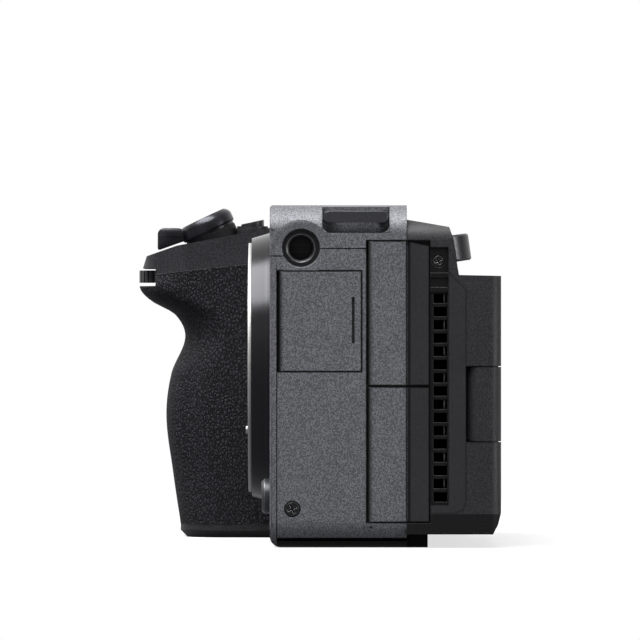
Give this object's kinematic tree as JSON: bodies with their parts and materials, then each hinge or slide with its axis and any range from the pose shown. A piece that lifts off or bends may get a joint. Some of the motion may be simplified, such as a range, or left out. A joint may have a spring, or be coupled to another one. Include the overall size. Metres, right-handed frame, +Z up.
{
  "type": "cinema camera",
  "caption": "Compact box-bodied camera with a side hand grip, open bayonet lens mount, port doors, vent and a side-hinged rear screen.",
  "frame": {"origin": "mouth of the tripod socket on the base plane, straight below the lens axis", "axes": "+X to the camera's own left (port side with the doors), -Y out of the lens, +Y to the screen, +Z up"},
  "size_m": [0.1297, 0.0845, 0.0789],
  "materials": {
    "body_paint": "speckled metallic paint",
    "grip_shell_paint": "satin paint",
    "dark_resin": "fine speckle",
    "vent_resin": "matt",
    "screen_resin": "matt",
    "grip_rubber": "grained",
    "black_anodised": "anodised",
    "collar_metal": "satin",
    "mount_steel": "turned",
    "dark_steel": "black",
    "plain_steel": "plain",
    "button_resin": "semi gloss",
    "release_resin": "satin",
    "record_red": "satin",
    "baffle_resin": "flat black",
    "frame_alloy": "cast",
    "sink_alloy": "extruded",
    "filter_glass": "coated",
    "sensor_face": "coated",
    "screen_glass": "glossy",
    "board": "lacquered",
    "inner_resin": "matt"
  },
  "bodies": {
    "camera_body": {"accessory_shoe": "plain_steel", "audio_jacks": "inner_resin", "base_plate": "dark_resin", "battery_pack": "inner_resin", "card_slot_unit": "inner_resin", "case_screws": "dark_steel", "digital_sockets": "inner_resin", "fan_frame": "inner_resin", "front_casing": "body_paint", "grip_core": "dark_resin", "grip_cover": "grip_rubber", "grip_top_cover": "grip_shell_paint", "heat_sink": "sink_alloy", "hinge_bushes": "plain_steel", "image_sensor": "sensor_face", "inner_chassis": "frame_alloy", "left_side_panel": "body_paint", "lens_contacts": "baffle_resin", "light_baffle": "baffle_resin", "main_board": "board", "mount_collar": "collar_metal", "mount_ring": "mount_steel", "mount_screws": "mount_steel", "rear_casing": "dark_resin", "sensor_filter_glass": "filter_glass", "shutter_unit": "black_anodised", "stabiliser_frame": "frame_alloy", "strap_bars": "plain_steel", "tally_lamp": "record_red", "thread_inserts": "plain_steel", "top_cover": "body_paint", "tripod_bush": "plain_steel", "vent_grille": "vent_resin", "vent_plate": "vent_resin"},
    "screen": {"screen_hinge_block": "screen_resin", "screen_case": "screen_resin", "screen_panel": "screen_glass"},
    "microphone_door": {"microphone_door": "body_paint"},
    "hdmi_door": {"hdmi_door": "body_paint"},
    "usb_door": {"usb_door": "body_paint"},
    "card_door": {"card_door": "dark_resin"},
    "battery_door": {"battery_door": "dark_resin"},
    "battery_latch": {"battery_latch": "dark_resin"},
    "front_dial": {"front_dial": "black_anodised"},
    "rear_dial": {"rear_dial": "black_anodised"},
    "zoom_lever": {"zoom_lever": "black_anodised"},
    "shutter_button": {"shutter_button": "button_resin"},
    "white_balance_button": {"white_balance_button": "button_resin"},
    "iso_button": {"iso_button": "button_resin"},
    "record_button": {"record_button": "record_red"},
    "power_lever": {"power_lever": "black_anodised"},
    "lens_release_button": {"lens_release_button": "release_resin"},
    "lens_lock_pin": {"lens_lock_pin": "mount_steel"},
    "control_wheel": {"control_wheel": "black_anodised"},
    "wheel_button": {"wheel_button": "button_resin"},
    "menu_button": {"menu_button": "button_resin"},
    "playback_button": {"playback_button": "button_resin"},
    "function_button": {"function_button": "button_resin"},
    "joystick": {"joystick": "button_resin"},
    "fan_rotor": {"fan_rotor": "inner_resin"}
  },
  "joints": [
    {"name": "screen_swing", "type": "hinge", "parent": "camera_body", "child": "screen", "pos_m": [0.0422, 0.0366, 0.0326], "axis": [0, 0, -1], "range_deg": [0, 176]},
    {"name": "microphone_door_hinge", "type": "hinge", "parent": "camera_body", "child": "microphone_door", "pos_m": [0.0452, -0.0087, 0.0514], "axis": [0, 0, -1], "range_deg": [0, 88]},
    {"name": "hdmi_door_hinge", "type": "hinge", "parent": "camera_body", "child": "hdmi_door", "pos_m": [0.0452, 0.01155, 0.0532], "axis": [0, 0, -1], "range_deg": [0, 88]},
    {"name": "usb_door_hinge", "type": "hinge", "parent": "camera_body", "child": "usb_door", "pos_m": [0.0452, 0.01155, 0.0212], "axis": [0, 0, -1], "range_deg": [0, 88]},
    {"name": "card_door_hinge", "type": "hinge", "parent": "camera_body", "child": "card_door", "pos_m": [-0.0829, 0.0018, 0.032], "axis": [0, 0, 1], "range_deg": [0, 88]},
    {"name": "battery_door_hinge", "type": "hinge", "parent": "camera_body", "child": "battery_door", "pos_m": [-0.0425, -0.01135, 0.0009], "axis": [0, -1, 0], "range_deg": [0, 88]},
    {"name": "battery_latch_slide", "type": "slide", "parent": "battery_door", "child": "battery_latch", "axis": [1, 0, 0], "range_m": [0, 0.002], "stiffness_N_per_m": 600},
    {"name": "front_dial_turn", "type": "hinge", "parent": "camera_body", "child": "front_dial", "pos_m": [-0.0611, -0.0355, 0.06212], "axis": [0, 0, 1], "continuous": true},
    {"name": "rear_dial_turn", "type": "hinge", "parent": "camera_body", "child": "rear_dial", "pos_m": [-0.0575, 0.029, 0.0684], "axis": [0, -0.1392, 0.9903], "continuous": true},
    {"name": "zoom_lever_turn", "type": "hinge", "parent": "camera_body", "child": "zoom_lever", "pos_m": [-0.0611, -0.0281, 0.07615], "axis": [0, -0.4321, 0.9018], "range_deg": [-20, 20], "stiffness_Nm_per_rad": 0.02},
    {"name": "shutter_button_press", "type": "slide", "parent": "camera_body", "child": "shutter_button", "axis": [0, 0.4321, -0.9018], "range_m": [0, 0.0012], "stiffness_N_per_m": 600},
    {"name": "white_balance_button_press", "type": "slide", "parent": "camera_body", "child": "white_balance_button", "axis": [0, 0, -1], "range_m": [0, 0.0008], "stiffness_N_per_m": 600},
    {"name": "iso_button_press", "type": "slide", "parent": "camera_body", "child": "iso_button", "axis": [0, 0, -1], "range_m": [0, 0.0008], "stiffness_N_per_m": 600},
    {"name": "record_button_press", "type": "slide", "parent": "camera_body", "child": "record_button", "axis": [0, 0, -1], "range_m": [0, 0.0008], "stiffness_N_per_m": 600},
    {"name": "power_lever_turn", "type": "hinge", "parent": "camera_body", "child": "power_lever", "pos_m": [-0.0505, 0.006, 0.0757], "axis": [0, 0, 1], "range_deg": [0, 30]},
    {"name": "lens_release_press", "type": "slide", "parent": "camera_body", "child": "lens_release_button", "axis": [0, 1, 0], "range_m": [0, 0.0015], "stiffness_N_per_m": 600},
    {"name": "lens_lock_pin_slide", "type": "slide", "parent": "camera_body", "child": "lens_lock_pin", "axis": [0, 1, 0], "range_m": [0, 0.0015]},
    {"name": "control_wheel_turn", "type": "hinge", "parent": "camera_body", "child": "control_wheel", "pos_m": [-0.058, 0.036, 0.034], "axis": [0, 1, 0], "continuous": true},
    {"name": "wheel_button_press", "type": "slide", "parent": "camera_body", "child": "wheel_button", "axis": [0, -1, 0], "range_m": [0, 0.0006], "stiffness_N_per_m": 600},
    {"name": "menu_button_press", "type": "slide", "parent": "camera_body", "child": "menu_button", "axis": [0, -1, 0], "range_m": [0, 0.0006], "stiffness_N_per_m": 600},
    {"name": "playback_button_press", "type": "slide", "parent": "camera_body", "child": "playback_button", "axis": [0, -1, 0], "range_m": [0, 0.0006], "stiffness_N_per_m": 600},
    {"name": "function_button_press", "type": "slide", "parent": "camera_body", "child": "function_button", "axis": [0, -1, 0], "range_m": [0, 0.0006], "stiffness_N_per_m": 600},
    {"name": "joystick_tilt", "type": "hinge", "parent": "camera_body", "child": "joystick", "pos_m": [-0.055, 0.033, 0.055], "axis": [1, 0, 0], "range_deg": [-8, 8], "stiffness_Nm_per_rad": 0.02},
    {"name": "fan_spin", "type": "hinge", "parent": "camera_body", "child": "fan_rotor", "pos_m": [0.008, 0.02, 0.04], "axis": [0, 1, 0], "continuous": true}
  ],
  "couplings": [
    {"joint": "lens_lock_pin_slide", "follows": "lens_release_press", "ratio": 1}
  ]
}
